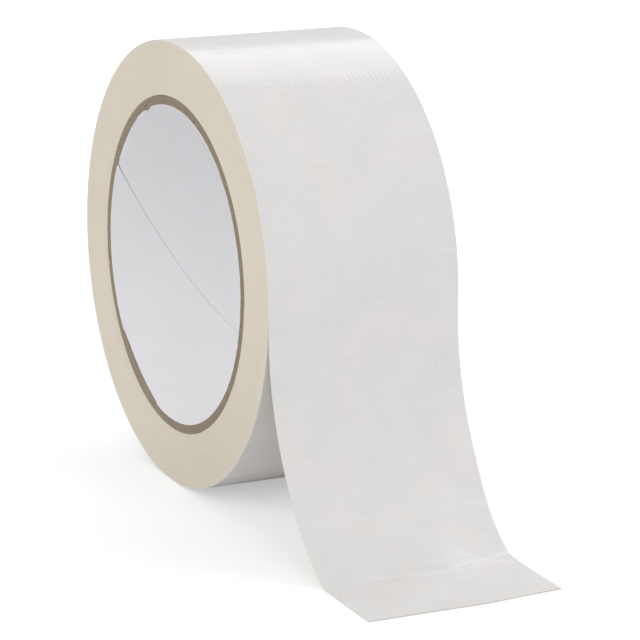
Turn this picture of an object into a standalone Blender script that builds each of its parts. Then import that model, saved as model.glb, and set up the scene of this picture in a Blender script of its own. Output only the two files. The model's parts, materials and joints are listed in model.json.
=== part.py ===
"""A roll of cloth tape whose free end has been pulled off the roll and laid down.

The core is a spiral-wound paper tube: a white liner inside grey board plies. The tape is
packed round it, and its free end, the tail, leaves the front of the roll, hangs down,
bends on the surface and lies there. The tail is shown as the laminate it is, film over
scrim cloth over adhesive, and it flexes at three lines: where it peels off the roll, half
way down its hang, and where it bends on the surface.

X is the roll's axis, the tail leaves the roll towards -Y, and +Z is up. The roll stands
at Z = 0, and the origin is under the middle of the whole object. Metres throughout.
"""

import math

import bmesh
import bpy

# Core
CORE_WIDTH = 0.048
BORE_RADIUS = 0.038
LINER_THICKNESS = 0.00015
PLY_THICKNESS = 0.0005
PLY_COUNT = 4
PLY_GAP = 0.00003
SEAM_GAP = 0.0003
SEAM_LEAD = 0.148
LINER_SEAM_DEG = 27.9
SEAM_STAGGER_DEG = 80.0

# Tape, and the winding of it on the core
TAPE_WIDTH = 0.048
FILM_THICKNESS = 0.00005
SCRIM_THICKNESS = 0.00004
ADHESIVE_THICKNESS = 0.000035
LAYER_GAP = 0.000015
WINDING_TURNS = 85

# Tail: an arc down from the peel line, a tighter arc on the surface, and a flat end
PEEL_GAP = 0.00003
HANG_TURN_DEG = 45.0
FLOOR_BEND_RADIUS = 0.030
FLAT_END_LENGTH = 0.012
UPPER_LINK_LENGTH = 0.036
LOWER_LINK_LENGTH = 0.027
HINGE_GAP = 0.0003

# Facets: a multiple of four lays one of them flat on the surface
ROUND_FACETS = 96
TAIL_STEP = 0.002
SEAM_STATIONS = 24
CUTTER_MARGIN = 0.0005

TAPE_THICKNESS = FILM_THICKNESS + SCRIM_THICKNESS + ADHESIVE_THICKNESS + 2 * LAYER_GAP
WINDING_BORE_RADIUS = BORE_RADIUS + LINER_THICKNESS + PLY_COUNT * PLY_THICKNESS + (PLY_COUNT + 1) * PLY_GAP
OUTER_RADIUS = WINDING_BORE_RADIUS + WINDING_TURNS * TAPE_THICKNESS
FACET_ANGLE = math.tau / ROUND_FACETS


# The roll's section, as (y, z) points about the roll's own axis

def on_circle(radius, angle):
    """The point at this radius and angle, which is 0 at +Y and a quarter turn at +Z."""
    return radius * math.cos(angle), radius * math.sin(angle)


def facet_corners():
    """How far each facet's corner lies from the peel line, going over the top of the roll."""
    return [(k + 0.5) * FACET_ANGLE for k in range(ROUND_FACETS)]


def winding_radius(travel):
    """The outer turn's radius: it falls by one thickness of tape over a full turn back from the peel line."""
    return OUTER_RADIUS - TAPE_THICKNESS * travel / math.tau


def winding_outline():
    """The outer turn from the peel line over the top, down the back and up to the peel line again."""
    travels = [0.0] + facet_corners() + [math.tau]
    return [on_circle(winding_radius(travel), math.pi - travel) for travel in travels]


# The tail's path

HANG_TURN = math.radians(HANG_TURN_DEG)
PEEL_Y = -(OUTER_RADIUS - TAPE_THICKNESS / 2 + PEEL_GAP)
SURFACE_Z = min(z for _, z in winding_outline())
TAIL_DROP = -SURFACE_Z - TAPE_THICKNESS / 2
HANG_RADIUS = (TAIL_DROP - FLOOR_BEND_RADIUS * (1 - math.sin(HANG_TURN))) / math.sin(HANG_TURN)
HANG_LENGTH = HANG_RADIUS * HANG_TURN
BEND_LENGTH = FLOOR_BEND_RADIUS * (math.pi / 2 - HANG_TURN)
TAIL_LENGTH = HANG_LENGTH + BEND_LENGTH + FLAT_END_LENGTH


def tail_place(length):
    """(y, z, heading) of the middle of the tape this far from the peel line. Heading 0 is down, a quarter turn is -Y."""
    if length <= HANG_LENGTH:
        heading = length / HANG_RADIUS
        y = PEEL_Y - HANG_RADIUS * (1 - math.cos(heading))
        return y, -HANG_RADIUS * math.sin(heading), heading
    y, z, _ = tail_place(HANG_LENGTH)
    along = min(length - HANG_LENGTH, BEND_LENGTH)
    heading = HANG_TURN + along / FLOOR_BEND_RADIUS
    y -= FLOOR_BEND_RADIUS * (math.cos(HANG_TURN) - math.cos(heading))
    z -= FLOOR_BEND_RADIUS * (math.sin(heading) - math.sin(HANG_TURN))
    return y - (length - HANG_LENGTH - along), z, heading


def tail_edge(length, height):
    """The point this far along the tail and this high above the middle of the tape, on its film side."""
    y, z, heading = tail_place(length)
    return y - height * math.cos(heading), z + height * math.sin(heading)


# The origin is under the middle of the object: the back of the roll to the end of the tail
FRONT_Y = tail_place(TAIL_LENGTH)[0]
BACK_Y = max(y for y, _ in winding_outline())
ROLL_CENTRE = (0.0, -(FRONT_Y + BACK_Y) / 2, -SURFACE_Z)


# Solids

def add_material(obj, colour, roughness):
    material = bpy.data.materials.new(obj.name)
    material.use_nodes = True
    shader = material.node_tree.nodes["Principled BSDF"]
    shader.inputs["Base Color"].default_value = (*colour, 1.0)
    shader.inputs["Roughness"].default_value = roughness
    shader.inputs["Metallic"].default_value = 0.0
    obj.data.materials.append(material)


def add_solid(name, mesh, parent, smooth_under_deg=20.0):
    """The finished bmesh as an object under this parent, shaded smooth across its round stretches."""
    data = bpy.data.meshes.new(name)
    bmesh.ops.recalc_face_normals(mesh, faces=mesh.faces)
    mesh.to_mesh(data)
    mesh.free()
    data.shade_smooth()
    data.set_sharp_from_angle(angle=math.radians(smooth_under_deg))
    obj = bpy.data.objects.new(name, data)
    bpy.context.scene.collection.objects.link(obj)
    obj.parent = parent
    return obj


def add_empty(name, parent=None, location=(0.0, 0.0, 0.0)):
    empty = bpy.data.objects.new(name, None)
    bpy.context.scene.collection.objects.link(empty)
    empty.parent = parent
    empty.location = location
    return empty


def ring(inner, outer, width):
    """A closed ring from two loops of (y, z) corners, as many in each."""
    mesh = bmesh.new()
    loops = [
        [mesh.verts.new((x, y, z)) for y, z in loop]
        for x, loop in ((-width / 2, inner), (-width / 2, outer), (width / 2, outer), (width / 2, inner))
    ]
    count = len(inner)
    for loop, beyond in zip(loops, loops[1:] + loops[:1]):
        for k in range(count):
            after = (k + 1) % count
            mesh.faces.new((loop[k], loop[after], beyond[after], beyond[k]))
    return mesh


def tube(inner_radius, outer_radius, width):
    corners = facet_corners()
    inner, outer = ([on_circle(radius, math.pi - travel) for travel in corners] for radius in (inner_radius, outer_radius))
    return ring(inner, outer, width)


def winding():
    """The packed turns. The outer turn ends in a step one tape thick, at the peel line."""
    outer = winding_outline()
    corners = facet_corners()
    bore_at_peel = on_circle(WINDING_BORE_RADIUS * math.cos(FACET_ANGLE / 2), math.pi)
    inner = [bore_at_peel] + [on_circle(WINDING_BORE_RADIUS, math.pi - travel) for travel in corners]
    mesh = bmesh.new()
    sides = []
    for x in (-TAPE_WIDTH / 2, TAPE_WIDTH / 2):
        sides.append([[mesh.verts.new((x, y, z)) for y, z in loop] for loop in (inner, outer)])
    for inner_side, outer_side in sides:
        peel_end, under_peel = outer_side[0], outer_side[-1]
        mesh.faces.new((inner_side[0], inner_side[1], outer_side[1], peel_end, under_peel))
        for k in range(1, len(inner)):
            after = (k + 1) % len(inner)
            mesh.faces.new((inner_side[k], inner_side[after], outer_side[k + 1], outer_side[k]))
    (inner_left, outer_left), (inner_right, outer_right) = sides
    for k in range(len(inner)):
        after = (k + 1) % len(inner)
        mesh.faces.new((inner_left[k], inner_left[after], inner_right[after], inner_right[k]))
    for k in range(len(outer)):
        after = (k + 1) % len(outer)
        mesh.faces.new((outer_left[k], outer_left[after], outer_right[after], outer_right[k]))
    return mesh


def seam_cutter(name, inner_radius, outer_radius, start_deg, parent):
    """A thin slanting blade that opens a ply's butt seam from one end of the core to the other."""
    mesh = bmesh.new()
    length = CORE_WIDTH + 2 * CUTTER_MARGIN
    sections = []
    for k in range(SEAM_STATIONS + 1):
        x = -length / 2 + length * k / SEAM_STATIONS
        middle = math.radians(start_deg) - math.tau * (x + CORE_WIDTH / 2) / SEAM_LEAD
        half = SEAM_GAP / 2 / inner_radius
        section = [
            (inner_radius - CUTTER_MARGIN, middle - half),
            (inner_radius - CUTTER_MARGIN, middle + half),
            (outer_radius + CUTTER_MARGIN, middle + half),
            (outer_radius + CUTTER_MARGIN, middle - half),
        ]
        sections.append([mesh.verts.new((x, *on_circle(radius, angle))) for radius, angle in section])
    for near, far in zip(sections, sections[1:]):
        for k in range(4):
            after = (k + 1) % 4
            mesh.faces.new((near[k], near[after], far[after], far[k]))
    mesh.faces.new(sections[0])
    mesh.faces.new(sections[-1])
    cutter = add_solid(name, mesh, parent)
    cutter.hide_render = True
    cutter.display_type = "WIRE"
    return cutter


def add_ply(name, inner_radius, thickness, seam_deg, parent):
    """One spiral-wound ply of the core, which is a tube with a slanting butt seam."""
    outer_radius = inner_radius + thickness
    ply = add_solid(name, tube(inner_radius, outer_radius, CORE_WIDTH), parent)
    cut = ply.modifiers.new("butt_seam", "BOOLEAN")
    cut.operation = "DIFFERENCE"
    cut.object = seam_cutter(name + "_seam_cutter", inner_radius, outer_radius, seam_deg, parent)
    return ply


def tail_layer(start, end, low, high, hinge):
    """A layer of the tail between two lengths and two heights, in the frame of the hinge that it turns on."""
    count = max(2, math.ceil((end - start) / TAIL_STEP))
    hinge_y, hinge_z, _ = tail_place(hinge)
    mesh = bmesh.new()
    sections = []
    for k in range(count + 1):
        length = start + (end - start) * k / count
        corners = [(-1, low), (1, low), (1, high), (-1, high)]
        section = []
        for side, height in corners:
            y, z = tail_edge(length, height)
            section.append(mesh.verts.new((side * TAPE_WIDTH / 2, y - hinge_y, z - hinge_z)))
        sections.append(section)
    for near, far in zip(sections, sections[1:]):
        for k in range(4):
            after = (k + 1) % 4
            mesh.faces.new((near[k], near[after], far[after], far[k]))
    mesh.faces.new(sections[0])
    mesh.faces.new(sections[-1])
    return mesh


# The object

def build_core(roll):
    liner_colour, board_colour = (0.78, 0.78, 0.80), (0.27, 0.22, 0.16)
    liner = add_ply("core_liner", BORE_RADIUS, LINER_THICKNESS, LINER_SEAM_DEG, roll)
    add_material(liner, liner_colour, 0.55)
    inner_radius = BORE_RADIUS + LINER_THICKNESS + PLY_GAP
    for number in range(1, PLY_COUNT + 1):
        seam_deg = LINER_SEAM_DEG + number * SEAM_STAGGER_DEG
        ply = add_ply(f"core_ply_{number}", inner_radius, PLY_THICKNESS, seam_deg, roll)
        add_material(ply, board_colour, 0.9)
        inner_radius += PLY_THICKNESS + PLY_GAP


def build_winding(roll):
    add_material(add_solid("tape_winding", winding(), roll), (0.72, 0.66, 0.52), 0.5)


def build_tail(roll):
    adhesive_low = -TAPE_THICKNESS / 2
    scrim_low = adhesive_low + ADHESIVE_THICKNESS + LAYER_GAP
    film_low = scrim_low + SCRIM_THICKNESS + LAYER_GAP
    layers = (
        ("film", film_low, FILM_THICKNESS, (0.74, 0.74, 0.73), 0.28),
        ("scrim", scrim_low, SCRIM_THICKNESS, (0.80, 0.79, 0.75), 0.8),
        ("adhesive", adhesive_low, ADHESIVE_THICKNESS, (0.74, 0.68, 0.54), 0.5),
    )
    hinges = (0.0, UPPER_LINK_LENGTH, UPPER_LINK_LENGTH + LOWER_LINK_LENGTH)
    ends = (*hinges[1:], TAIL_LENGTH + HINGE_GAP / 2)
    parent = roll
    from_y, from_z = 0.0, 0.0
    for link, hinge, end in zip(("upper", "lower", "tip"), hinges, ends):
        y, z, _ = tail_place(hinge)
        parent = add_empty(f"tail_{link}_hinge", parent, (0.0, y - from_y, z - from_z))
        from_y, from_z = y, z
        for layer, low, thickness, colour, roughness in layers:
            mesh = tail_layer(hinge + HINGE_GAP / 2, end - HINGE_GAP / 2, low, low + thickness, hinge)
            add_material(add_solid(f"tail_{link}_{layer}", mesh, parent), colour, roughness)


def clear_scene():
    for obj in list(bpy.data.objects):
        bpy.data.objects.remove(obj)


clear_scene()
roll_empty = add_empty("roll_axis", location=ROLL_CENTRE)
build_core(roll_empty)
build_winding(roll_empty)
build_tail(roll_empty)
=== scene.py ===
import json
import math

import bpy
import numpy as np
from mathutils import Matrix, Vector


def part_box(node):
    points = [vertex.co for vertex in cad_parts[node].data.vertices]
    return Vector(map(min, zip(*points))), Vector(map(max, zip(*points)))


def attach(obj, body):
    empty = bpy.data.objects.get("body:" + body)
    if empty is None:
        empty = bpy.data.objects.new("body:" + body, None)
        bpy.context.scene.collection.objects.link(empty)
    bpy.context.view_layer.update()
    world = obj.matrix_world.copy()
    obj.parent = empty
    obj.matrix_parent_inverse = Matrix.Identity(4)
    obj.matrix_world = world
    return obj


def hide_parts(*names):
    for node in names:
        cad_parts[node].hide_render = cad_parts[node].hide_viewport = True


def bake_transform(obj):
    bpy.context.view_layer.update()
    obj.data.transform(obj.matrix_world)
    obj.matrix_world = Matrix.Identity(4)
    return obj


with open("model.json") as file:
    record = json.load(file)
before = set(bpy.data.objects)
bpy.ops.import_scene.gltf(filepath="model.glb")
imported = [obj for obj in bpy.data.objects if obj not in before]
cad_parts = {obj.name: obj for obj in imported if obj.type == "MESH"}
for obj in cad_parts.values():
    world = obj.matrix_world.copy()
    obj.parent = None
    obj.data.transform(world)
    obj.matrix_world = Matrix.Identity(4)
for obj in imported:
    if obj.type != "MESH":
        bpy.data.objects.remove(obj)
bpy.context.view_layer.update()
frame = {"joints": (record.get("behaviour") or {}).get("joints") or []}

# Sizes of the real thing, in metres. Places come from the frame.
TAPE_THICKNESS = 0.000155
TURNS = 85
BORE_RADIUS = 0.038
LINER_THICKNESS = 0.00015
PLY_THICKNESS = 0.0005
PLY_COUNT = 4
PLY_GAP = 0.00003
SEAM_LEAD = 0.148
LINER_SEAM_DEG = 27.9
SEAM_STAGGER_DEG = 80.0
HANG_TURN = math.radians(45.0)
FLOOR_BEND_RADIUS = 0.030
WARP_PITCH = 0.00137
WEFT_PITCH = 0.0026
FILM_THICKNESS = 0.000055
ADHESIVE_THICKNESS = 0.000062
PEEL_GAP = 0.00003

# Points across each strip of tape, and the seed of everything that varies at random
COLUMNS = 180
SEED = 7

JOINTS = {joint["name"]: joint for joint in frame["joints"]}
PEEL = Vector(JOINTS["tail_peel"]["pos_m"])
WINDING_LOW, WINDING_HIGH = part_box("tape_winding")
LINER_LOW, LINER_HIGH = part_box("core_liner")
TAPE_WIDTH = WINDING_HIGH.x - WINDING_LOW.x
CORE_WIDTH = LINER_HIGH.x - LINER_LOW.x
ROLL = (LINER_LOW + LINER_HIGH) / 2
OUTER_RADIUS = ROLL.y - WINDING_LOW.y
WOUND_BORE_RADIUS = OUTER_RADIUS - TURNS * TAPE_THICKNESS
TAIL_TIP_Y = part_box("tail_tip_film")[0].y


# ---- nodes and their arithmetic

class Value:
    """A node's output that takes part in arithmetic: each expression adds the Math node it stands for."""

    def __init__(self, graph, socket):
        self.graph = graph
        self.socket = socket

    def math(self, operation, *others, clamp=False):
        settings = {"operation": operation, "use_clamp": clamp}
        return self.graph.node("ShaderNodeMath", settings, dict(enumerate((self, *others))))

    def __add__(self, other):
        return self.math("ADD", other)

    def __radd__(self, other):
        return self.math("ADD", other)

    def __sub__(self, other):
        return self.math("SUBTRACT", other)

    def __rsub__(self, other):
        return self.graph.node("ShaderNodeMath", {"operation": "SUBTRACT"}, {0: other, 1: self})

    def __mul__(self, other):
        return self.math("MULTIPLY", other)

    def __truediv__(self, other):
        return self.math("DIVIDE", other)

    def __neg__(self):
        return self.math("MULTIPLY", -1.0)

    def __lt__(self, other):
        return self.math("LESS_THAN", other)

    def sin(self):
        return self.math("SINE")

    def cos(self):
        return self.math("COSINE")

    def abs(self):
        return self.math("ABSOLUTE")

    def sign(self):
        return self.math("SIGN")

    def floor(self):
        return self.math("FLOOR")

    def sqrt(self):
        return self.math("SQRT")

    def clamp(self):
        return self.math("ADD", 0.0, clamp=True)


class Graph:
    """Adds nodes to a shader's or a geometry's tree."""

    def __init__(self, tree):
        self.tree = tree

    def node(self, kind, settings=None, inputs=None, output=0):
        """One node: its type, its settings, and its sockets' values or links. It returns one output."""
        made = self.tree.nodes.new(kind)
        for name, value in (settings or {}).items():
            setattr(made, name, value)
        for key, value in (inputs or {}).items():
            self.feed(made.inputs[key], value)
        return Value(self, made.outputs[output]) if made.outputs else made

    def feed(self, socket, value):
        """Links a value to the socket, or each of a list. Anything else becomes the socket's own value."""
        if isinstance(value, list):
            for one in value:
                self.feed(socket, one)
        elif isinstance(value, Value):
            self.tree.links.new(value.socket, socket)
        else:
            socket.default_value = value

    def other(self, value, name):
        """Another output of the node that this value comes from."""
        return Value(self, value.socket.node.outputs[name])

    def place(self):
        """The point's place in its object's own coordinates."""
        return self.node("ShaderNodeTexCoord", output="Object")

    def noise(self, vector, scale, detail=2.0, roughness=0.5):
        inputs = {"Vector": vector, "Scale": scale, "Detail": detail, "Roughness": roughness}
        return self.node("ShaderNodeTexNoise", {"noise_dimensions": "3D"}, inputs)

    def stretched(self, vector, scale):
        """The vector with each axis scaled by itself, for a grain that runs one way."""
        return self.node("ShaderNodeVectorMath", {"operation": "MULTIPLY"}, {0: vector, 1: scale})

    def combine(self, x, y, z):
        return self.node("ShaderNodeCombineXYZ", None, {0: x, 1: y, 2: z})

    def separate(self, vector):
        x = self.node("ShaderNodeSeparateXYZ", None, {0: vector})
        return x, self.other(x, "Y"), self.other(x, "Z")

    def tint(self, factor, first, second):
        """The first colour turned towards the second by the factor."""
        return self.node("ShaderNodeMix", {"data_type": "RGBA"}, {0: factor, 6: first, 7: second}, output=2)


def new_shader(name):
    """(material, graph, Principled node) of a new material."""
    material = bpy.data.materials.new(name)
    material.use_nodes = True
    return material, Graph(material.node_tree), material.node_tree.nodes["Principled BSDF"]


def finish_shader(graph, shader, colour, roughness, height, bump_distance, bump_strength, specular):
    """Colour, roughness and bump to the shader. The specular level is the same all over."""
    shader.inputs["Specular IOR Level"].default_value = specular
    graph.feed(shader.inputs["Base Color"], colour)
    graph.feed(shader.inputs["Roughness"], roughness)
    bump = {"Height": height, "Distance": bump_distance, "Strength": bump_strength}
    graph.feed(shader.inputs["Normal"], graph.node("ShaderNodeBump", None, bump))


def rgb(red, green, blue):
    """A colour given as it looks, from 0 to 255, as the linear colour that a shader takes."""
    def linear(value):
        value /= 255.0
        return value / 12.92 if value <= 0.04045 else ((value + 0.055) / 1.055) ** 2.4
    return (linear(red), linear(green), linear(blue), 1.0)


# ---- materials

def tape_coordinates(graph):
    """(place on the tape, thread height) from the piece's own attributes."""
    place = graph.node("ShaderNodeAttribute", {"attribute_name": "tape_place"}, output="Vector")
    return place, graph.node("ShaderNodeAttribute", {"attribute_name": "thread_height"}, output="Fac")


def film_material():
    """White polyethylene film over scrim: satin, with the threads showing through it as fine ribs."""
    material, graph, shader = new_shader("white_film")
    place, threads = tape_coordinates(graph)
    streak = graph.noise(graph.stretched(place, (0.10, 1.0, 1.0)), 800.0, 3.0, 0.6)
    long_streak = graph.noise(graph.stretched(place, (0.06, 1.0, 1.0)), 330.0, 2.0, 0.5)
    cloud = graph.noise(place, 45.0, 3.0, 0.55)
    crackle = graph.noise(graph.stretched(place, (0.45, 1.0, 1.0)), 2600.0, 3.0, 0.65)
    colour = graph.tint(((cloud - 0.3) * 2.2).clamp(), rgb(230, 227, 225), rgb(226, 225, 224))
    patch = graph.noise(place, 110.0, 2.0, 0.5)
    printed = (threads * 0.5 + 0.5).clamp() * (patch - 0.28).clamp() * 0.9
    colour = graph.tint(printed, colour, rgb(209, 207, 205))
    colour = graph.tint(((0.46 - streak) * 3.0).clamp() * 0.22, colour, rgb(208, 206, 204))
    colour = graph.tint(((long_streak - 0.62) * 7.0).clamp() * 0.25, colour, rgb(238, 237, 236))
    roughness = 0.16 + (cloud - 0.5) * 0.08 + (crackle - 0.5) * 0.09
    height = streak * 0.5 + crackle * 0.35
    finish_shader(graph, shader, colour, roughness, height, 0.00003, 0.6, specular=0.35)
    return material


def adhesive_material():
    """Cream adhesive on the tape's underside, tacky and a little glossy, with the cloth showing through."""
    material, graph, shader = new_shader("cream_adhesive")
    place, threads = tape_coordinates(graph)
    cloud = graph.noise(place, 60.0, 3.0, 0.6)
    pits = graph.noise(place, 1800.0, 3.0, 0.65)
    colour = graph.tint(cloud, rgb(214, 203, 176), rgb(222, 212, 190))
    colour = graph.tint((threads * 0.5 + 0.5).clamp() * 0.45, colour, rgb(236, 231, 217))
    roughness = 0.34 + (pits - 0.5) * 0.25
    finish_shader(graph, shader, colour, roughness, pits, 0.00005, 0.6, specular=0.5)
    return material


def roll_coordinates(graph, place):
    """(radius, angle) about the roll's axis, in metres and radians, from object coordinates."""
    _, y, z = graph.separate(place)
    y = y - ROLL.y
    z = z - ROLL.z
    return (y * y + z * z).sqrt(), z.math("ARCTAN2", y)


# How far in from the tread the winding's side is paler: partly the film's white edge, partly a painted
# highlight
RIM_DEPTH = 0.0009


def wound_edge_material():
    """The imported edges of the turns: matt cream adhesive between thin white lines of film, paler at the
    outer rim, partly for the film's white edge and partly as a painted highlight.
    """
    material, graph, shader = new_shader("cream_wound_edges")
    place = graph.place()
    radius, angle = roll_coordinates(graph, place)
    turn = (radius - WOUND_BORE_RADIUS) / TAPE_THICKNESS
    ring = graph.combine(turn * 0.21, angle.cos() * 0.6, angle.sin() * 0.6)
    ring_tone = graph.noise(ring, 1.0, 3.0, 0.6)
    wide_ring = graph.combine(turn * 0.045, angle.cos() * 0.25, angle.sin() * 0.25)
    band = graph.noise(wide_ring, 1.0, 2.0)
    cloud = graph.noise(place, 55.0, 3.0, 0.55)
    grain = graph.noise(place, 2600.0, 3.0, 0.6)
    # Paler towards the tread: partly the film's white edge, partly a painted highlight on its rounded edge
    rim_white_edge_and_highlight = ((radius - (OUTER_RADIUS - RIM_DEPTH)) / RIM_DEPTH).clamp()
    colour = graph.tint(cloud, rgb(220, 211, 193), rgb(225, 217, 202))
    colour = graph.tint((ring_tone - 0.42) * 1.1, colour, rgb(229, 223, 211))
    colour = graph.tint((0.5 - band) * 0.7, colour, rgb(210, 199, 178))
    colour = graph.tint((grain - 0.5).abs() * 0.5, colour, rgb(203, 192, 172))
    colour = graph.tint(rim_white_edge_and_highlight * 0.6, colour, rgb(229, 222, 212))
    dust = graph.noise(place, 620.0, 2.0, 0.6)
    colour = graph.tint(((0.205 - dust) * 30.0).clamp() * 0.55, colour, rgb(128, 100, 78))
    roughness = 0.62 + (grain - 0.5) * 0.2
    height = ring_tone * 0.5 + grain * 0.5
    finish_shader(graph, shader, colour, roughness, height, 0.00008, 0.6, specular=0.35)
    return material


def board_material():
    """Greyboard: brown-grey paper with darker glue lines and pale fibres at its cut edge."""
    material, graph, shader = new_shader("core_greyboard")
    place = graph.place()
    radius, angle = roll_coordinates(graph, place)
    round_the_roll = graph.combine(angle.cos() * 0.9, angle.sin() * 0.9, radius * 60.0)
    fibre = graph.noise(round_the_roll, 60.0, 4.0, 0.65)
    speck = graph.noise(place, 1500.0, 3.0, 0.65)
    glue = ((radius - BORE_RADIUS) * (math.tau / (PLY_THICKNESS + PLY_GAP))).cos() * 0.5 + 0.5
    colour = graph.tint(fibre, rgb(139, 125, 108), rgb(166, 153, 136))
    colour = graph.tint(((speck - 0.56) * 4.0).clamp() * 0.6, colour, rgb(186, 174, 156))
    colour = graph.tint(((0.44 - speck) * 4.0).clamp() * 0.5, colour, rgb(98, 84, 68))
    colour = graph.tint(glue * glue * 0.25, colour, rgb(104, 90, 74))
    height = fibre * 0.5 + speck * 0.6
    roughness = 0.9 + (speck - 0.5) * 0.1
    finish_shader(graph, shader, colour, roughness, height, 0.00015, 0.8, specular=0.2)
    return material


def liner_material():
    """Smooth white paper, with a faint cloudy formation."""
    material, graph, shader = new_shader("white_liner_paper")
    place = graph.place()
    cloud = graph.noise(place, 120.0, 4.0, 0.6)
    fibre = graph.noise(place, 2400.0, 3.0, 0.6)
    colour = graph.tint(cloud, rgb(229, 229, 231), rgb(234, 234, 236))
    colour = graph.tint((fibre - 0.5).abs() * 0.35, colour, rgb(208, 208, 212))
    roughness = 0.5 + (cloud - 0.5) * 0.14
    height = cloud * 0.3 + fibre * 0.5
    finish_shader(graph, shader, colour, roughness, height, 0.00004, 0.5, specular=0.4)
    return material


def thread_material():
    """Undyed scrim yarn."""
    material, graph, shader = new_shader("scrim_yarn")
    place = graph.place()
    twist = graph.noise(place, 3800.0, 2.0, 0.6)
    colour = graph.tint(twist, rgb(226, 221, 208), rgb(240, 236, 226))
    roughness = 0.8 + (twist - 0.5) * 0.1
    finish_shader(graph, shader, colour, roughness, twist, 0.00005, 0.6, specular=0.25)
    return material


def fuzz_material():
    """Torn board fibres, some pale and some brown."""
    material, graph, shader = new_shader("torn_board_fibres")
    place = graph.place()
    tone = graph.noise(place, 900.0, 2.0, 0.6)
    colour = graph.tint(((tone - 0.4) * 5.0).clamp(), rgb(150, 134, 114), rgb(222, 216, 204))
    roughness = 0.88 + (tone - 0.5) * 0.1
    finish_shader(graph, shader, colour, roughness, tone, 0.00003, 0.4, specular=0.2)
    return material


# ---- the tape's own surface

def hang_radius():
    """The radius of the tail's hang, from its peel point, its turn and the bend that it runs into."""
    drop = PEEL.z - TAPE_THICKNESS / 2
    return (drop - FLOOR_BEND_RADIUS * (1 - math.sin(HANG_TURN))) / math.sin(HANG_TURN)


HANG_RADIUS = hang_radius()
HANG_LENGTH = HANG_RADIUS * HANG_TURN

# Lengths along the tail from the peel line, in metres
UPPER_END = 0.030
LOWER_END = 0.0585
BEND_END = 0.0605
FLATTENING_START = 0.0655
FLATTENING_LENGTH = 0.0065
CURL_START = 0.0745
CURL_LENGTH = 0.0105
CURL_HEIGHT = 0.00008
EASE_START = 0.030
EASE_LENGTH = 0.029
TABLE_END = 0.086
TABLE_ROWS = 1721

# Where the tail folds on the surface: (across, length) along the fold, in millimetres
FOLD = ((-24.0, 63.3), (-8.0, 63.9), (3.6, 64.9), (6.8, 64.4), (13.0, 62.8), (24.0, 61.4))
FOLD_WIDTH = 0.0013
FOLD_ROUNDING = 0.0036
BEFORE_FOLD = math.radians(58.8)
AFTER_FOLD = math.radians(86.5)

# How far round the roll, in radians, the outer turn lifts off before the peel line
LIFT_OFF = 0.3


def smooth_step(x):
    x = np.clip(x, 0, 1)
    return x * x * (3 - 2 * x)


def fold_length(across):
    """The length at which the fold runs, for each place across the tape."""
    places, lengths = np.array(FOLD).T / 1000
    shifts = np.linspace(-FOLD_ROUNDING, FOLD_ROUNDING, 9)
    return sum(np.interp(across + shift, places, lengths) for shift in shifts) / len(shifts)


def tail_headings(lengths, across):
    """Which way the tail runs, from 0 for down to a quarter turn for -Y: rows along it, columns across it."""
    hang = np.clip(lengths, 0, HANG_LENGTH) / HANG_RADIUS
    bent = np.clip((lengths - HANG_LENGTH) / (BEND_END - HANG_LENGTH), 0, 1)
    to_fold = (BEFORE_FOLD - HANG_TURN) * bent
    fold = (AFTER_FOLD - BEFORE_FOLD) * smooth_step((lengths - fold_length(across)) / FOLD_WIDTH + 0.5)
    to_flat = (math.pi / 2 - AFTER_FOLD) * smooth_step((lengths - FLATTENING_START) / FLATTENING_LENGTH)
    return hang + to_fold + fold + to_flat


def tail_table():
    """The tail's middle line at even steps, for even places across it, each coming down to the surface."""
    across = np.linspace(-TAPE_WIDTH / 2, TAPE_WIDTH / 2, COLUMNS)[None, :]
    lengths = np.linspace(0, TABLE_END, TABLE_ROWS)[:, None]
    step = lengths[1, 0]
    drop = PEEL.z - TAPE_THICKNESS / 2
    heading = tail_headings(lengths, across)
    ease = np.sin(np.clip((lengths - EASE_START) / EASE_LENGTH, 0, 1) * math.pi) ** 2
    for _ in range(4):
        fall = np.cos(heading).sum(0) * step
        slope = (np.sin(heading) * ease).sum(0) * step
        heading = heading + ease * (fall - drop)[None, :] / slope[None, :]
    middle = (heading[1:] + heading[:-1]) / 2
    y = PEEL.y - np.concatenate([np.zeros((1, COLUMNS)), np.cumsum(np.sin(middle), 0) * step])
    z = PEEL.z - np.concatenate([np.zeros((1, COLUMNS)), np.cumsum(np.cos(middle), 0) * step])
    curl = CURL_HEIGHT * np.clip((lengths - CURL_START) / CURL_LENGTH, 0, 2) ** 2
    return lengths[:, 0], y, z + curl, heading + 2 * curl / np.maximum(lengths - CURL_START, 0.001)


TABLE_LENGTHS, TABLE_Y, TABLE_Z, TABLE_HEADING = tail_table()
TAIL_LENGTH = float(np.interp(-TAIL_TIP_Y, -TABLE_Y[:, COLUMNS // 2], TABLE_LENGTHS))


def tape_line(along, across):
    """(y, z, heading) of the middle of the tape at these lengths from the peel line and places across it.

    Below 0 the tape lies on the roll as its outer turn. Beyond 0 it is the tail. Heading 0 is down.
    """
    along, across = np.broadcast_arrays(along, across)
    travel = np.clip(-along, 0, None) / OUTER_RADIUS
    lift = PEEL_GAP * smooth_step(1 - travel / LIFT_OFF)
    wound = OUTER_RADIUS - TAPE_THICKNESS / 2 - TAPE_THICKNESS * travel / math.tau + lift
    row = np.clip(along / TABLE_LENGTHS[1], 0, len(TABLE_LENGTHS) - 1.001)
    column = np.clip((across / TAPE_WIDTH + 0.5) * (COLUMNS - 1), 0, COLUMNS - 1.001)
    i, j = row.astype(int), column.astype(int)
    a, b = row - i, column - j
    values = []
    for table in (TABLE_Y, TABLE_Z, TABLE_HEADING):
        near = table[i, j] * (1 - b) + table[i, j + 1] * b
        far = table[i + 1, j] * (1 - b) + table[i + 1, j + 1] * b
        values.append(near * (1 - a) + far * a)
    y, z, heading = values
    on_roll = along < 0
    y = np.where(on_roll, ROLL.y - wound * np.cos(travel), y)
    z = np.where(on_roll, ROLL.z + wound * np.sin(travel), z)
    return y, z, np.where(on_roll, travel, heading)


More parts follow.
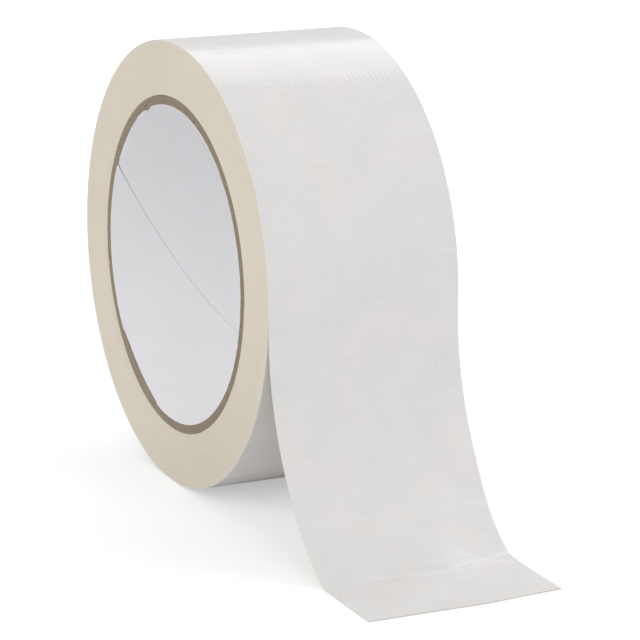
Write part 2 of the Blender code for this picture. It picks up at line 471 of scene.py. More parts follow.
def waves(seed, count, shortest, longest, across_share):
    """Directions, frequencies and phases of a smooth random field, for undulation()."""
    draw = np.random.default_rng(seed)
    size = 1 / (longest * (shortest / longest) ** draw.random(count))
    turn = draw.normal(0.0, across_share, count)
    return np.stack([size * np.sin(turn), size * np.cos(turn), draw.random(count) * math.tau], 1)


def undulation(field, across, along):
    """The sum of the field's waves, between about -1 and 1."""
    total = 0.0
    for u, v, phase in field:
        total = total + np.cos(math.tau * (u * across + v * along) + phase)
    return total / math.sqrt(len(field)) / 1.4


THREAD_DRIFT = waves(SEED, 11, 0.006, 0.05, 1.2)
CROSS_RIPPLES = waves(SEED + 1, 14, 0.0018, 0.010, 0.09)
RIPPLE_PATCHES = waves(SEED + 2, 6, 0.018, 0.07, 1.3)
SLOW_WAVES = waves(SEED + 3, 5, 0.03, 0.09, 0.8)
MOTTLE = waves(SEED + 4, 22, 0.0024, 0.009, 1.2)

# Heights, spacings and reaches of what shows in the film, in metres
WARP_DRIFT = 0.00018
WEFT_DRIFT = 0.00032
THREAD_PRINT = 0.0000115
ADHESIVE_PRINT = 0.000014
TOP_RIBS = -0.0585
TOP_RIB_HEIGHT = 0.000022
TOP_RIB_PITCH = 0.0054
TOP_RIB_REACH = 0.005
FOLD_RIBS = -0.0010
FOLD_RIB_HEIGHT = 0.000034
FOLD_RIB_PITCH = 0.0022
FOLD_RIB_REACH = 0.0013
RIPPLE_HEIGHT = 0.0000065
MOTTLE_HEIGHT = 0.000008
SLOW_HEIGHT = 0.000016
SLOW_END = 0.070
SLOW_FADE = 0.01
PRESSED_START = 0.0635
PRESSED_FADE = 0.003
BEHIND_TOP = -0.062
BEHIND_TOP_FADE = 0.006
ROLLED_EDGE_DROP = 0.000022
ROLLED_EDGE_REACH = 0.00028

# Wrinkles in the film: (across, length) of both ends, half width and height, in millimetres
WRINKLES = (
    (-22.5, 40.7, -1.0, 39.6, 0.70, -0.017),
    (0.5, 42.8, 9.0, 42.1, 0.50, -0.010),
    (-2.0, 34.6, 12.0, 37.6, 0.70, 0.011),
    (-24.0, 47.5, -9.0, 46.6, 0.60, 0.013),
    (-24.0, 19.5, -6.0, 20.3, 0.60, 0.012),
    (-23.5, 24.0, 7.0, 23.2, 0.80, 0.010),
    (-23.5, 29.6, -8.0, 30.4, 0.60, -0.009),
    (-23.5, -11.0, 6.0, -10.4, 0.50, 0.013),
    (-23.5, -15.4, -9.0, -14.8, 0.40, 0.011),
    (-21.5, -73.7, -8.5, -72.8, 0.35, -0.050),
    (-6.0, -70.2, 19.0, -69.4, 0.50, 0.022),
    (-23.0, -66.3, 3.0, -66.0, 0.60, -0.009),
    (-12.0, 62.1, 1.0, 63.2, 0.26, 0.026),
    (1.0, 59.6, 14.0, 60.8, 0.28, 0.030),
    (4.0, 65.6, 23.5, 63.6, 0.24, 0.075),
    (11.0, 63.2, 24.5, 61.0, 0.22, 0.065),
    (20.5, 64.0, 24.3, 66.9, 0.30, 0.040),
)


def wrinkle_height(across, along):
    """Thin ridges and grooves that run across the tape and fade at both ends."""
    total = np.zeros(np.broadcast(across, along).shape)
    for from_across, from_along, to_across, to_along, half_width, height in WRINKLES:
        share = (across * 1000 - from_across) / (to_across - from_across)
        fade = np.clip(1 - (2 * share - 1) ** 2, 0, 1) ** 0.7
        line = from_along + (to_along - from_along) * share + 0.22 * np.sin(across * 830 + from_along)
        total += height / 1000 * fade * np.exp(-(((along * 1000 - line) / half_width) ** 2))
    return total


def warp_wave(across, drift):
    """The warp threads' wave across the tape, from -1 to 1."""
    return np.cos(math.tau * (across + WARP_DRIFT * drift) / WARP_PITCH)


def thread_height(across, along):
    """The threads as they show through: warp along the tape, weft across it. Between about -1 and 1."""
    drift = undulation(THREAD_DRIFT, across, along)
    warp = warp_wave(across, drift)
    weft = np.cos(math.tau * (along + WEFT_DRIFT * drift) / WEFT_PITCH)
    crossed = np.clip(0.45 + 0.8 * undulation(RIPPLE_PATCHES, along, across), 0.05, 1.1)
    return 0.48 * warp + crossed * (0.06 * weft + 0.36 * (0.5 + 0.5 * warp) * weft)


def bell(along, place, reach):
    """1 at this length along the tape, falling away to 0 on both sides of it."""
    return np.exp(-(((along - place) / reach) ** 2))


def weave_relief(across, along):
    """The threads' height in the film. Short ribs stand out over the top of the roll and at the fold."""
    strength = np.clip(0.75 + 0.55 * undulation(RIPPLE_PATCHES, across, along), 0.25, None)
    flattened = 1.0 - 0.8 * smooth_step((along - PRESSED_START) / PRESSED_FADE)
    woven = THREAD_PRINT * strength * flattened * thread_height(across, along)
    ribs = 0.5 + 0.5 * warp_wave(across, undulation(THREAD_DRIFT, across, along))
    uneven = np.clip(0.7 + 0.7 * undulation(MOTTLE, across, along), 0.1, 1.4)
    top = TOP_RIB_HEIGHT * bell(along, TOP_RIBS, TOP_RIB_REACH)
    before_fold = along - fold_length(across)
    fold = FOLD_RIB_HEIGHT * bell(before_fold, FOLD_RIBS, FOLD_RIB_REACH)
    over_top = top * np.cos(math.tau * (along - TOP_RIBS) / TOP_RIB_PITCH)
    at_fold = fold * np.cos(math.tau * before_fold / FOLD_RIB_PITCH)
    return woven + ribs * uneven * (over_top + at_fold)


def shape_relief(across, along):
    """Ripples across the film, mottling, slow waves, wrinkles, and the rolled edge of the slit tape."""
    patches = 0.4 + 0.6 * undulation(RIPPLE_PATCHES, along * 1.3, across * 1.3)
    over_top = 1 + 1.2 * smooth_step((BEHIND_TOP - along) / BEHIND_TOP_FADE)
    ripples = RIPPLE_HEIGHT * over_top * undulation(CROSS_RIPPLES, across, along) * patches
    mottle = MOTTLE_HEIGHT * undulation(MOTTLE, across, along)
    slow = SLOW_HEIGHT * undulation(SLOW_WAVES, across, along) * smooth_step((SLOW_END - along) / SLOW_FADE)
    edge = TAPE_WIDTH / 2 - np.abs(across)
    rolled = -ROLLED_EDGE_DROP * np.exp(-((edge / ROLLED_EDGE_REACH) ** 2))
    return ripples + mottle + slow + wrinkle_height(across, along) + rolled


def film_relief(across, along):
    return weave_relief(across, along) + shape_relief(across, along)


def adhesive_relief(across, along):
    return -ADHESIVE_PRINT * thread_height(across, along)


def no_relief(across, along):
    return 0.0 * (across + along)


# ---- meshes

def new_object(name, mesh, material):
    """A new object in the scene with this mesh and material."""
    mesh.materials.clear()
    mesh.materials.append(material)
    obj = bpy.data.objects.new(name, mesh)
    bpy.context.scene.collection.objects.link(obj)
    return obj


def grid_faces(rows, columns, first=0, flip=False):
    """The quads of a grid whose points run row by row."""
    k = np.arange(rows * columns).reshape(rows, columns) + first
    quads = np.stack([k[:-1, :-1], k[:-1, 1:], k[1:, 1:], k[1:, :-1]], -1).reshape(-1, 4)
    return quads[:, ::-1] if flip else quads


# The step over which the slope of the film's relief is taken
NUDGE = 0.00002


def tape_side(along, across, height, relief):
    """Points and outward normals of one side of the tape, rows along it and columns across it."""
    y, z, heading = tape_line(along, across)
    raised = height + relief(across, along)
    rise_across = (relief(across + NUDGE, along) - relief(across - NUDGE, along)) / (2 * NUDGE)
    rise_along = (relief(across, along + NUDGE) - relief(across, along - NUDGE)) / (2 * NUDGE)
    zero = 0 * heading
    out = np.stack([zero, -np.cos(heading), np.sin(heading)], -1)
    onward = np.stack([zero, -np.sin(heading), -np.cos(heading)], -1)
    gap = across[0, 1] - across[0, 0]
    sideways = np.stack([zero + 1, np.gradient(y, gap, axis=1), np.gradient(z, gap, axis=1)], -1)
    points = np.stack([across + zero, y, z], -1) + raised[..., None] * out
    normal = np.cross(onward + rise_along[..., None] * out, sideways + rise_across[..., None] * out)
    return points, normal / np.linalg.norm(normal, axis=-1, keepdims=True)


def strip_faces(rows, plain_columns, outward):
    """(faces, how many are smooth) of a closed layer: both sides first, then its edges and its ends."""
    count = rows * COLUMNS
    k = np.arange(count).reshape(rows, COLUMNS)
    m = count + np.arange(rows * plain_columns).reshape(rows, plain_columns)
    left = np.stack([k[:-1, 0], k[1:, 0], m[1:, 0], m[:-1, 0]], -1)
    right = np.stack([k[1:, -1], k[:-1, -1], m[:-1, -1], m[1:, -1]], -1)
    sides = np.concatenate([grid_faces(rows, COLUMNS), grid_faces(rows, plain_columns, count, flip=True)])
    faces = np.concatenate([sides, left, right]).tolist()
    for top, bottom, flip in ((k[0], m[0], False), (k[-1], m[-1], True)):
        if plain_columns == COLUMNS:
            end = np.stack([top[1:], top[:-1], bottom[:-1], bottom[1:]], -1)
        else:
            end = np.concatenate([top[::-1], bottom])[None, :]
        faces += (end[:, ::-1] if flip else end).tolist()
    if outward:
        faces = [face[::-1] for face in faces]
    return faces, len(sides)


def both_sides(face, back, chosen):
    """The faced side's rows and then the back's, of which only the chosen columns."""
    return np.concatenate([face.reshape(-1, 3), back[:, chosen].reshape(-1, 3)])


def give_tape_attributes(mesh, across, along, chosen):
    """Each point's place on the tape and its thread height, which the tape's materials read."""
    place = np.stack(np.broadcast_arrays(across, along, 0.0), -1)
    flat = both_sides(place, place, chosen).astype(np.float32)
    mesh.attributes.new("tape_place", "FLOAT_VECTOR", "POINT").data.foreach_set("vector", flat.ravel())
    threads = thread_height(flat[:, 0], flat[:, 1]).astype(np.float32)
    mesh.attributes.new("thread_height", "FLOAT", "POINT").data.foreach_set("value", threads)


def tape_strip(name, material, rows_at, faced, plain, relief, plain_columns=COLUMNS):
    """A closed layer of the tape over these lengths, with relief on its faced side and none on its plain one.

    Its shading normals come from the whole tape's surface, so that it meets its neighbours with no seam.
    """
    along = np.asarray(rows_at)[:, None]
    across = np.linspace(-TAPE_WIDTH / 2, TAPE_WIDTH / 2, COLUMNS)[None, :]
    chosen = np.linspace(0, COLUMNS - 1, plain_columns).round().astype(int)
    face_points, face_normals = tape_side(along, across, faced, relief)
    back_points, back_normals = tape_side(along, across, plain, no_relief)
    points = both_sides(face_points, back_points, chosen)
    normals = both_sides(face_normals, -back_normals, chosen)
    outward = faced > plain
    faces, smooth_count = strip_faces(len(along), plain_columns, outward)
    mesh = bpy.data.meshes.new(name)
    mesh.from_pydata(points.tolist(), [], faces)
    mesh.polygons.foreach_set("use_smooth", np.arange(len(faces)) < smooth_count)
    give_tape_attributes(mesh, across, along, chosen)
    vertex = np.empty(len(mesh.loops), np.int32)
    mesh.loops.foreach_get("vertex_index", vertex)
    corner_normals = normals[vertex] if outward else -normals[vertex]
    corner_normals[4 * smooth_count:] = 0.0
    mesh.normals_split_custom_set(corner_normals.tolist())
    return new_object(name, mesh, material)


def on_roll(radius, angle):
    """(y, z) at this radius and angle about the roll's axis. Angle 0 is +Y, and a quarter turn is up."""
    return ROLL.y + radius * np.cos(angle), ROLL.z + radius * np.sin(angle)


# Wear of the liner's edge: (side of the roll, angle and half width in degrees, depth in metres)
LINER_WEAR = (
    (-1, -57.0, 19.0, 0.00070),
    (-1, 41.0, 15.0, 0.00030),
    (-1, 64.6, 1.5, 0.00090),
    (-1, 134.0, 4.0, 0.00022),
    (-1, 172.0, 2.4, 0.00032),
    (-1, 212.0, 9.0, 0.00026),
    (1, 20.0, 12.0, 0.00035),
    (1, 118.0, 3.0, 0.00050),
    (1, 251.0, 16.0, 0.00040),
)
BOARD_WEAR = ((-1, 64.6, 1.3, 0.00060), (1, 117.0, 2.2, 0.00040))
# Where the liner's edge stands off the board: (side, angle and half width in degrees, how far in metres)
LINER_LIFTS = ((-1, 67.4, 1.3, 0.00040), (-1, 28.8, 1.2, 0.00016), (1, 121.0, 1.5, 0.00035))


def edge_amount(spots, side, angle):
    """The sum of these spots at each angle, on the side that each point is on."""
    total = 0.0
    for spot_side, centre, half_width, amount in spots:
        away = (np.degrees(angle) - centre + 180.0) % 360.0 - 180.0
        inside = np.sqrt(np.clip(1 - (away / half_width) ** 2, 0, 1))
        total = total + (side == spot_side) * amount * inside
    return total


# How much wider the butt seam opens at the core's cut ends, and how far in that fades
SEAM_FLARE = 0.00022
FLARE_REACH = 0.0015


def ply_end(ring, stations, base, flip):
    """The faces that close a ply's strip at its seam."""
    outer = list(range(3, 3 + stations))
    inner = [0] + [ring - j for j in range(1, stations - 1)] + [stations + 5]
    faces = []
    for j in range(stations - 1):
        corners = [inner[j], inner[j + 1], outer[j + 1], outer[j]]
        if j == 0:
            corners += [2, 1]
        if j == stations - 2:
            corners[2:2] = [stations + 4, stations + 3]
        corners = [base + corner for corner in corners]
        faces.append(corners[::-1] if flip else corners)
    return faces


def core_ply(
    name, material, inner, thickness, seam_deg, seam_gap, recess, roughness,
    seed, segments, stations, wear, lifts=(),
):
    """One ply of the core: a strip wound on a slant, whose edges meet at a butt seam, with rough cut ends."""
    field = waves(seed, 26, 0.0006, 0.02, 1.5)
    turn = np.linspace(0, 1, segments + 1)[:, None]
    layers = np.linspace(0, 1, 4)
    span = np.linspace(-1, 1, stations)
    share = np.concatenate([np.full(3, -1.0), span, np.full(3, 1.0), span[-2:0:-1]])[None, :]
    radial = np.concatenate([layers[:3], np.ones(stations), layers[2::-1], np.zeros(stations - 2)])[None, :]
    x = share * (CORE_WIDTH / 2 - recess)
    flare = SEAM_FLARE * np.exp(-(CORE_WIDTH / 2) * (1 - np.abs(share)) / FLARE_REACH)
    flare = flare * ((turn == 0) * 1.0 - (turn == 1))
    angle = math.radians(seam_deg) - math.tau * (x + CORE_WIDTH / 2) / SEAM_LEAD
    angle = angle + (seam_gap / 2 + flare) / inner + turn * (math.tau - seam_gap / inner)
    at_end = np.abs(share) == 1.0
    lift = edge_amount(lifts, share, angle)
    radius = inner + thickness * radial - lift * (0.35 + 0.65 * at_end) * (np.abs(share) > 0.95)
    rough = np.abs(undulation(field, radius * angle, radius * 3.0 + seed)) * roughness
    crown = roughness * (0.5 + 0.5 * np.cos(math.tau * radial))
    x = x - np.sign(share) * at_end * (rough + crown + edge_amount(wear, share, angle))
    y, z = on_roll(radius, angle)
    ring = share.shape[1]
    points = np.stack([x + 0 * y, y, z], -1).reshape(-1, 3)
    k = np.arange((segments + 1) * ring).reshape(segments + 1, ring)
    ahead = np.roll(k, -1, axis=1)
    quads = np.stack([k[1:], ahead[1:], ahead[:-1], k[:-1]], -1).reshape(-1, 4).tolist()
    ends = ply_end(ring, stations, 0, True) + ply_end(ring, stations, segments * ring, False)
    mesh = bpy.data.meshes.new(name)
    mesh.from_pydata(points.tolist(), [], quads + ends)
    mesh.shade_smooth()
    mesh.set_sharp_from_angle(angle=math.radians(50))
    return new_object(name, mesh, material)


# ---- geometry node trees

def geometry_tree(name, inputs):
    """(graph, its inputs by name) of a new geometry tree with these named inputs."""
    tree = bpy.data.node_groups.new(name, "GeometryNodeTree")
    tree.is_modifier = True
    tree.interface.new_socket("Geometry", in_out="OUTPUT", socket_type="NodeSocketGeometry")
    for label, value in inputs.items():
        kind = "NodeSocketInt" if isinstance(value, int) else "NodeSocketFloat"
        tree.interface.new_socket(label, in_out="INPUT", socket_type=kind)
    graph = Graph(tree)
    source = graph.node("NodeGroupInput")
    return graph, {label: graph.other(source, label) for label in inputs}


def end_tree(graph, geometry, material):
    """Realize Instances and Set Material, which every tree ends in."""
    realized = graph.node("GeometryNodeRealizeInstances", None, {0: geometry})
    inputs = {"Geometry": realized, "Material": material}
    finished = graph.node("GeometryNodeSetMaterial", None, inputs)
    graph.node("NodeGroupOutput", None, {0: finished})


def swept(graph, curve, section):
    """The section swept along the curve, with closed ends."""
    inputs = {"Curve": curve, "Profile Curve": section, "Fill Caps": True}
    return graph.node("GeometryNodeCurveToMesh", None, inputs)


def made_by(name, graph, inputs, material):
    """The tree's result as a plain mesh object with no modifier."""
    holder = new_object(name + "_maker", bpy.data.meshes.new(name + "_maker"), material)
    modifier = holder.modifiers.new("maker", "NODES")
    modifier.node_group = graph.tree
    for item in graph.tree.interface.items_tree:
        if item.in_out == "INPUT":
            modifier[item.identifier] = inputs[item.name]
    bpy.context.view_layer.update()
    depsgraph = bpy.context.evaluated_depsgraph_get()
    mesh = bpy.data.meshes.new_from_object(holder.evaluated_get(depsgraph), depsgraph=depsgraph)
    mesh.name = name
    bpy.data.objects.remove(holder)
    return new_object(name, mesh, material)


# Turns what was made round the Z axis to stand as the roll does, with its axis along X
ROLL_STANDING = Matrix(((0, 0, 1, ROLL.x), (-1, 0, 0, ROLL.y), (0, 1, 0, ROLL.z), (0, 0, 0, 1)))


def packed_turns(material):
    """All the turns under the outer one: the tape's crowned section swept along one spiral."""
    inputs = {
        "Turns": float(TURNS - 1),
        "Steps Per Turn": 160,
        "Inner Radius": WOUND_BORE_RADIUS + TAPE_THICKNESS / 2,
        "Outer Radius": OUTER_RADIUS - TAPE_THICKNESS * 1.5,
        "Tape Width": TAPE_WIDTH - 0.0001,
        "Tape Thickness": TAPE_THICKNESS * 0.96,
        "Edge Crown": 0.00003,
        "Wander": 0.00005,
        "Seed": float(SEED),
    }
    graph, given = geometry_tree("packed_turns_tree", inputs)
    spiral = graph.node("GeometryNodeCurveSpiral", None, {
        "Resolution": given["Steps Per Turn"],
        "Rotations": given["Turns"],
        "Start Radius": given["Inner Radius"],
        "End Radius": given["Outer Radius"],
        "Height": 0.0,
        "Reverse": False,
    })
    length = graph.node("GeometryNodeSplineParameter", output="Length")
    noise = {"W": length * 14.0 + given["Seed"], "Scale": 1.0, "Detail": 3.0}
    slow = graph.node("ShaderNodeTexNoise", {"noise_dimensions": "1D"}, noise)
    offset = graph.combine(0.0, 0.0, (slow - 0.5) * 2.0 * given["Wander"])
    wandered = graph.node("GeometryNodeSetPosition", None, {"Geometry": spiral, "Offset": offset})
    upright = graph.node("GeometryNodeSetCurveNormal", {"mode": "Z_UP"}, {0: wandered})
    ring = {"Resolution": 6, "Radius": 1.0}
    six_sided = graph.node("GeometryNodeCurvePrimitiveCircle", {"mode": "RADIUS"}, ring)
    corner_x, corner_y, _ = graph.separate(graph.node("GeometryNodeInputPosition"))
    shoulder = corner_x.abs() < 0.75
    wide = corner_x.sign() * (given["Tape Width"] / 2.0 - given["Edge Crown"] * shoulder)
    thick = corner_y / math.sin(math.tau / 6) * given["Tape Thickness"] / 2.0
    corners = {"Geometry": six_sided, "Position": graph.combine(thick, wide, 0.0)}
    section = graph.node("GeometryNodeSetPosition", None, corners)
    end_tree(graph, swept(graph, upright, section), material)
    obj = made_by("packed_turns", graph, inputs, material)
    obj.data.transform(ROLL_STANDING)
    return obj


def oval_section(graph, width, thickness, sides):
    """A closed profile curve of this width and thickness, for a yarn or a fibre."""
    inputs = {"Resolution": sides, "Radius": 0.5}
    ring = graph.node("GeometryNodeCurvePrimitiveCircle", {"mode": "RADIUS"}, inputs)
    scale = graph.combine(width, thickness, 1.0)
    oval = graph.node("GeometryNodeTransform", None, {"Geometry": ring, "Scale": scale})
    return graph.node("GeometryNodeReverseCurve", None, {"Curve": oval})


# Lengths of the straight pieces that a yarn bends in
WARP_PIECE = 0.0006
WEFT_PIECE = 0.0012
# How much the scrim stops short of the ends of its section, in all
SCRIM_SHORT = 0.0001


def scrim_net(name, material, start, stop, middle):
    """The yarns of one section of scrim: woven flat by a node tree, then laid along the tape's own line."""
    inputs = {
        "Width": TAPE_WIDTH - 0.0002,
        "Length": stop - start - SCRIM_SHORT,
        "Warp Pitch": WARP_PITCH,
        "Weft Pitch": WEFT_PITCH,
        "First Weft": WEFT_PITCH - start % WEFT_PITCH,
        "Yarn Width": 0.00036,
        "Yarn Thickness": 0.00003,
    }
    graph, given = geometry_tree(name + "_tree", inputs)
    section = oval_section(graph, given["Yarn Width"], given["Yarn Thickness"], 6)
    width = given["Width"]
    length = given["Length"]
    warp_pitch = given["Warp Pitch"]
    warp_count = (width / warp_pitch).floor()
    weft_count = ((length - given["First Weft"]) / given["Weft Pitch"]).floor() + 1.0
    # Of each kind of yarn: both ends, its pieces, how many there are, the first one's place, the step between
    warps = (
        graph.combine(0.0, 0.0, 0.0),
        graph.combine(0.0, length, 0.0),
        length / WARP_PIECE,
        warp_count,
        graph.combine(-(warp_count - 1.0) * warp_pitch / 2.0, 0.0, 0.0),
        graph.combine(warp_pitch, 0.0, 0.0),
    )
    wefts = (
        graph.combine(-width / 2.0, 0.0, 0.0),
        graph.combine(width / 2.0, 0.0, 0.0),
        width / WEFT_PIECE,
        weft_count,
        graph.combine(0.0, given["First Weft"], 0.0),
        graph.combine(0.0, given["Weft Pitch"], 0.0),
    )
    nets = []
    for from_end, to_end, pieces, count, first, step in (warps, wefts):
        ends = {"Start": from_end, "End": to_end}
        line = graph.node("GeometryNodeCurvePrimitiveLine", {"mode": "POINTS"}, ends)
        bendable = graph.node("GeometryNodeResampleCurve", None, {"Curve": line, "Count": pieces})
        flat = graph.node("GeometryNodeSetCurveNormal", {"mode": "Z_UP"}, {0: bendable})
        yarn = swept(graph, flat, section)
        places = {"Count": count, "Start Location": first, "Offset": step}
        row = graph.node("GeometryNodeMeshLine", {"mode": "OFFSET", "count_mode": "TOTAL"}, places)
        nets.append(graph.node("GeometryNodeInstanceOnPoints", None, {"Points": row, "Instance": yarn}))
    end_tree(graph, graph.node("GeometryNodeJoinGeometry", None, {0: nets}), material)
    obj = made_by(name, graph, inputs, material)
    flat = np.empty(len(obj.data.vertices) * 3, np.float32)
    obj.data.vertices.foreach_get("co", flat)
    across, along, height = flat.reshape(-1, 3).astype(float).T
    y, z, heading = tape_line(start + SCRIM_SHORT / 2 + along, across)
    height = height + middle
    laid = np.stack([across, y - height * np.cos(heading), z + height * np.sin(heading)], 1)
    obj.data.vertices.foreach_set("co", laid.astype(np.float32).ravel())
    obj.data.update()
    return obj


def paper_fuzz(material):
    """Torn paper fibres along both cut ends of the core."""
    inputs = {
        "Fibres": 340,
        "Inner Radius": BORE_RADIUS + 0.0001,
        "Outer Radius": WOUND_BORE_RADIUS - 0.0002,
        "Core Width": CORE_WIDTH - 0.0014,
        "Fibre Length": 0.0006,
        "Fibre Width": 0.000035,
        "Seed": SEED,
    }
    graph, given = geometry_tree("paper_fuzz_tree", inputs)

    def random(low, high, salt):
        """A number between these two for each fibre."""
        inputs = {2: low, 3: high, "Seed": given["Seed"] + float(salt)}
        return graph.node("FunctionNodeRandomValue", {"data_type": "FLOAT"}, inputs, output=1)

    row = {"mode": "OFFSET", "count_mode": "TOTAL"}
    points = graph.node("GeometryNodeMeshLine", row, {"Count": given["Fibres"]})
    angle = random(0.0, math.tau, 1)
    radius = random(given["Inner Radius"], given["Outer Radius"], 2)
    side = random(-1.0, 1.0, 3).sign()
    place = graph.combine(radius * angle.cos(), radius * angle.sin(), side * given["Core Width"] / 2.0)
    spread = graph.node("GeometryNodeSetPosition", None, {"Geometry": points, "Position": place})
    bow = graph.node("GeometryNodeCurvePrimitiveBezierSegment", None, {
        "Resolution": 4,
        "Start": (0.0, 0.0, 0.0),
        "Start Handle": (0.2, 0.25, 0.0),
        "End Handle": (0.7, -0.2, 0.1),
        "End": (1.0, 0.05, 0.0),
    })
    thin = given["Fibre Width"] / given["Fibre Length"]
    fibre = swept(graph, bow, oval_section(graph, thin, thin, 4))
    turn = graph.combine(random(0.0, math.tau, 4), random(-0.9, 0.9, 5), angle + random(-2.6, 2.6, 6))
    rotation = graph.node("FunctionNodeEulerToRotation", None, {0: turn})
    size = random(0.35, 1.3, 7) * given["Fibre Length"]
    scale = graph.combine(size, size, size)
    scattered = {"Points": spread, "Instance": fibre, "Rotation": rotation, "Scale": scale}
    fuzz = graph.node("GeometryNodeInstanceOnPoints", None, scattered)
    end_tree(graph, fuzz, material)
    obj = made_by("paper_fuzz", graph, inputs, material)
    obj.data.transform(ROLL_STANDING)
    return obj


# ---- assembly

def ride_roll(piece, slot, *nodes):
    """A piece that is fixed to the roll, and the nodes that it replaces. Its slot is not used."""
    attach(piece, "roll")
    if nodes:
        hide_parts(*nodes)


def build_core(board, liner_paper):
    """The liner, the board plies round it, and torn fibres at their cut ends."""
    liner = core_ply(
        "liner", liner_paper, BORE_RADIUS, LINER_THICKNESS, LINER_SEAM_DEG,
        seam_gap=0.00016, recess=0.00008, roughness=0.00006,
        seed=SEED + 20, segments=540, stations=36, wear=LINER_WEAR, lifts=LINER_LIFTS,
    )
    ride_roll(liner, "liner_paper", "core_liner")
    inner = BORE_RADIUS + LINER_THICKNESS + PLY_GAP
    for number in range(1, PLY_COUNT + 1):
        seam = LINER_SEAM_DEG + number * SEAM_STAGGER_DEG
        wear = BOARD_WEAR if number <= 2 else ()
        ply = core_ply(
            f"board_ply_{number}", board, inner, PLY_THICKNESS, seam,
            seam_gap=0.0003, recess=0.00003, roughness=0.00011,
            seed=SEED + 20 + number, segments=360, stations=29, wear=wear,
        )
        ride_roll(ply, "core_board", f"core_ply_{number}")
        inner += PLY_THICKNESS + PLY_GAP
    ride_roll(paper_fuzz(fuzz_material()), "core_board")


# Where the closer rows of points begin on the outer turn and end on the tip, and the steps between rows
FINE_ROWS_START = -0.098
FINE_ROWS_END = 0.0685
FACE_ROW_STEP = 0.00036
BACK_ROW_STEP = 0.0006
OUTER_TURN_LENGTH = math.tau * OUTER_RADIUS * 0.9985


def build_winding(film, edges):
    """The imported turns, and over them the outer turn that runs on into the tail."""
    ride_roll(packed_turns(edges), "adhesive", "tape_winding")
    half = TAPE_THICKNESS / 2
    wide_rows = np.linspace(-OUTER_TURN_LENGTH, FINE_ROWS_START, 278)
    rows_at = np.concatenate([wide_rows[:-1], np.linspace(FINE_ROWS_START, 0, 236)])
    outer = tape_strip("outer_turn", film, rows_at, half, -half, film_relief, 2)
    ride_roll(outer, "tape_film", "tape_winding")


# (name, lengths it spans, the bodies on either side of it, its joint, a reach along the tape from the joint)
TAIL_SECTIONS = (
    ("upper", 0.0, UPPER_END, "roll", "tail_upper", "tail_peel", 0.022),
    ("lower", UPPER_END, LOWER_END, "tail_upper", "tail_lower", "tail_hang", 0.019),
    ("tip", LOWER_END, TAIL_LENGTH, "tail_lower", "tail_tip", "tail_bend", 0.018),
)


def joint_length(joint):
    """How far along the tape the joint's axis lies."""
    lengths = np.linspace(0, TAIL_LENGTH, 2000)
    y, z, _ = tape_line(lengths, 0.0)
    place = JOINTS[joint]["pos_m"]
    return float(lengths[np.argmin((y - place[1]) ** 2 + (z - place[2]) ** 2)])


def tape_middle(length):
    """The point in the middle of the tape at this length."""
    y, z, _ = tape_line(length, 0.0)
    return Vector((0.0, float(y), float(z)))


def build_tail(film, adhesive, yarn):
    """The tail as film, scrim and adhesive, in three sections that are baked where they lie and are not
    attached to any joint.
    """
    top, bottom = TAPE_THICKNESS / 2, -TAPE_THICKNESS / 2
    film_back = top - FILM_THICKNESS
    adhesive_top = bottom + ADHESIVE_THICKNESS
    for link, start, stop, near, far, joint, reach in TAIL_SECTIONS:
        rows_at = np.linspace(start, stop, round((stop - start) / FACE_ROW_STEP))
        if link == "tip":
            close_rows = np.linspace(start, FINE_ROWS_END, 64)
            rows_at = np.concatenate([close_rows[:-1], np.linspace(FINE_ROWS_END, stop, 42)])
        back_rows = np.linspace(start, stop, round((stop - start) / BACK_ROW_STEP))
        face = tape_strip(f"tail_{link}_film_face", film, rows_at, top, film_back, film_relief)
        name = f"tail_{link}_sticky_back"
        back = tape_strip(name, adhesive, back_rows, bottom, adhesive_top, adhesive_relief)
        net = scrim_net(f"tail_{link}_yarns", yarn, start, stop, (film_back + adhesive_top) / 2)
        at = joint_length(joint)
        ends = [tape_middle(length) for length in (at, at + reach)]
        parts = ((face, "tape_film", "film"), (net, "scrim_cloth", "scrim"), (back, "adhesive", "adhesive"))
        for piece, slot, layer in parts:
            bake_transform(piece)
            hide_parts(f"tail_{link}_{layer}")


# ---- floor, lights and camera

# The share of the background's and the floor's extra glow that satin surfaces reflect
REFLECTED_GLOW = 0.25
FLOOR_SIZE = 3.0
FLOOR_LEVEL = -0.00004


def seen_share(graph):
    """How much of the white backdrop this ray sees: all of it from the camera, less in a reflection."""
    camera = graph.node("ShaderNodeLightPath", output="Is Camera Ray")
    glossy = graph.other(camera, "Is Glossy Ray")
    through = graph.other(camera, "Is Transmission Ray")
    return (camera + glossy * REFLECTED_GLOW + through).clamp()


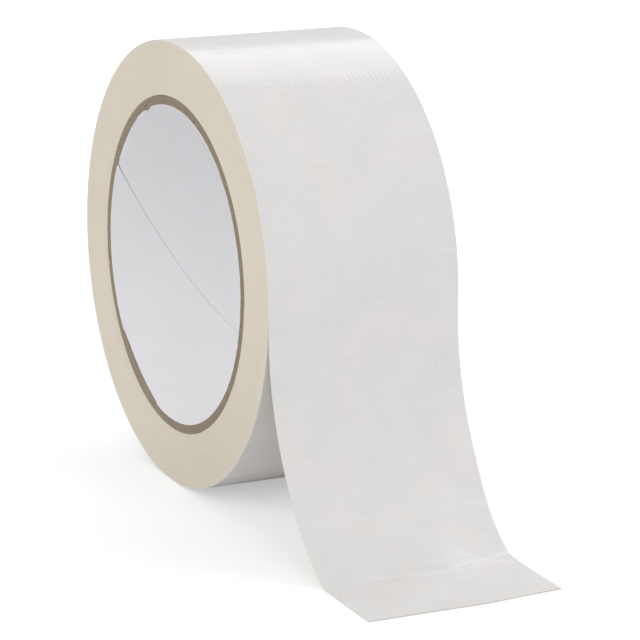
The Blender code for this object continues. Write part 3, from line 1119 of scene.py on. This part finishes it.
def build_floor():
    """A pale floor that is white to the camera where it is lit, and keeps the object's shadow. Its glow is
    dimmer near the roll, a painted shadow round it.
    """
    material, graph, shader = new_shader("pale_floor")
    shader.inputs["Base Color"].default_value = (0.86, 0.86, 0.87, 1.0)
    shader.inputs["Roughness"].default_value = 0.9
    shader.inputs["Specular IOR Level"].default_value = 0.0
    pale = graph.node("ShaderNodeBsdfDiffuse", None, {"Color": (0.66, 0.66, 0.67, 1.0)})
    x, y, _ = graph.separate(graph.place())
    y = y - ROLL.y
    away = (x * x + y * y).sqrt()
    # Painted shadow: the glow is weaker near the roll, rising from 6 cm out and again beyond 30 cm
    glow_with_painted_shadow = 0.43 + ((away - 0.06) / 0.12).clamp() * 0.09 + ((away - 0.3) / 1.0).clamp() * 0.22
    colour = graph.combine(glow_with_painted_shadow, glow_with_painted_shadow, glow_with_painted_shadow)
    light = graph.node("ShaderNodeEmission", None, {"Color": colour, "Strength": 1.0})
    both = graph.node("ShaderNodeAddShader", None, {0: pale, 1: light})
    plain = Value(graph, shader.outputs[0])
    mixed = graph.node("ShaderNodeMixShader", None, {0: seen_share(graph), 1: plain, 2: both})
    graph.feed(material.node_tree.nodes["Material Output"].inputs["Surface"], mixed)
    corners = [(-1, -1), (1, -1), (1, 1), (-1, 1)]
    points = [(x * FLOOR_SIZE, y * FLOOR_SIZE, FLOOR_LEVEL) for x, y in corners]
    mesh = bpy.data.meshes.new("floor")
    mesh.from_pydata(points, [], [(0, 1, 2, 3)])
    new_object("floor", mesh, material)


def build_world():
    """White all round: full to the camera, and dimmer as a light."""
    world = bpy.data.worlds.new("studio")
    bpy.context.scene.world = world
    world.use_nodes = True
    graph = Graph(world.node_tree)
    background = world.node_tree.nodes["Background"]
    background.inputs["Color"].default_value = (1.0, 1.0, 1.0, 1.0)
    graph.feed(background.inputs["Strength"], 0.58 + seen_share(graph) * 0.42)


def add_lamp(name, size_x, size_y, power, offset):
    """A soft lamp of this size and power, this far from the roll's middle and turned towards it."""
    light = bpy.data.lights.new(name, "AREA")
    light.shape = "RECTANGLE"
    light.size = size_x
    light.size_y = size_y
    light.energy = power
    lamp = bpy.data.objects.new(name, light)
    bpy.context.scene.collection.objects.link(lamp)
    place = ROLL + Vector(offset)
    lamp.location = place
    lamp.rotation_euler = (ROLL - place).to_track_quat("-Z", "Y").to_euler()


def build_lights():
    """A long softbox above and behind, a key light at the right, and fills from the front and the left."""
    lean = math.radians(40.0)
    add_lamp("softbox", 2.4, 0.56, 5.8, (0.45, math.sin(lean), math.cos(lean)))
    add_lamp("right_key", 1.0, 1.0, 5.0, (1.2, -0.40, 0.50))
    add_lamp("front_fill", 1.2, 1.0, 3.3, (-0.2, -1.3, 0.7))
    add_lamp("left_fill", 1.0, 1.0, 5.8, (-1.3, -0.2, 0.6))


def build_camera():
    """A long lens, low and to the left of the front, turned by hardly a degree."""
    azimuth, elevation, roll = (math.radians(v) for v in (-26.55, 15.50, 0.993))
    flat_back = Vector((math.sin(azimuth), -math.cos(azimuth), 0.0))
    back = flat_back * math.cos(elevation) + Vector((0.0, 0.0, math.sin(elevation)))
    level = Vector((math.cos(azimuth), math.sin(azimuth), 0.0))
    upright = back.cross(level)
    right = level * math.cos(roll) + upright * math.sin(roll)
    up = upright * math.cos(roll) - level * math.sin(roll)
    camera = bpy.data.objects.new("camera", bpy.data.cameras.new("camera"))
    bpy.context.scene.collection.objects.link(camera)
    camera.data.lens = 173.5
    camera.data.sensor_width = 36.0
    place = ROLL + back * 0.7414 + right * 0.01355 - up * 0.01545
    columns = Matrix((right, up, back)).transposed().to_4x4()
    columns.translation = place
    camera.matrix_world = columns
    bpy.context.scene.camera = camera


build_camera()
film_finish = film_material()
adhesive_finish = adhesive_material()
build_core(board_material(), liner_material())
build_winding(film_finish, wound_edge_material())
build_tail(film_finish, adhesive_finish, thread_material())
build_floor()
build_world()
build_lights()
bpy.context.scene.view_settings.view_transform = "Standard"
